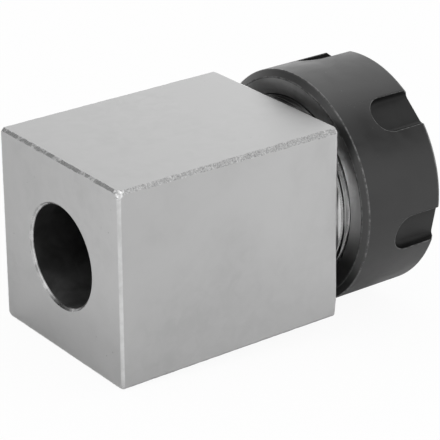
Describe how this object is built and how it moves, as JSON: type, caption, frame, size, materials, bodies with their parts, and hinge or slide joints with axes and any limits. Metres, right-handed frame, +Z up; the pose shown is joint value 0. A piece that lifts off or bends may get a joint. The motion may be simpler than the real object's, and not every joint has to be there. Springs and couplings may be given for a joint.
{
  "type": "square collet block",
  "caption": "Square steel block with a rear through bore and a threaded nose, holding a slitted spring collet closed by a slotted clamping nut.",
  "frame": {"origin": "on the collet axis, in the plane of the block's rear face", "axes": "+X along the collet axis from the rear face to the clamping nut, +Z up and +Y to the left, both square to the block's faces"},
  "size_m": [0.098, 0.063, 0.063],
  "materials": {
    "ground_steel": "surface-ground steel, satin",
    "black_oxide": "black oxide, satin",
    "ring_steel": "hardened and turned",
    "spring_steel": "spring steel, blued",
    "collet_steel": "hardened and ground"
  },
  "bodies": {
    "block": {"square_block": "ground_steel"},
    "collet": {"spring_collet": "collet_steel", "extractor_ring": "ring_steel"},
    "nut": {"clamping_nut": "black_oxide", "snap_ring": "spring_steel"}
  },
  "joints": [
    {"name": "collet_travel", "type": "slide", "parent": "block", "child": "collet", "axis": [1, 0, 0], "range_m": [0, 0.01351]},
    {"name": "nut_turn", "type": "hinge", "parent": "collet", "child": "nut", "pos_m": [0.0894, 0, 0], "axis": [1, 0, 0], "range_deg": [0, 3240]}
  ],
  "couplings": [
    {"joint": "collet_travel", "follows": "nut_turn", "m_per_rad": 0.00023873}
  ]
}
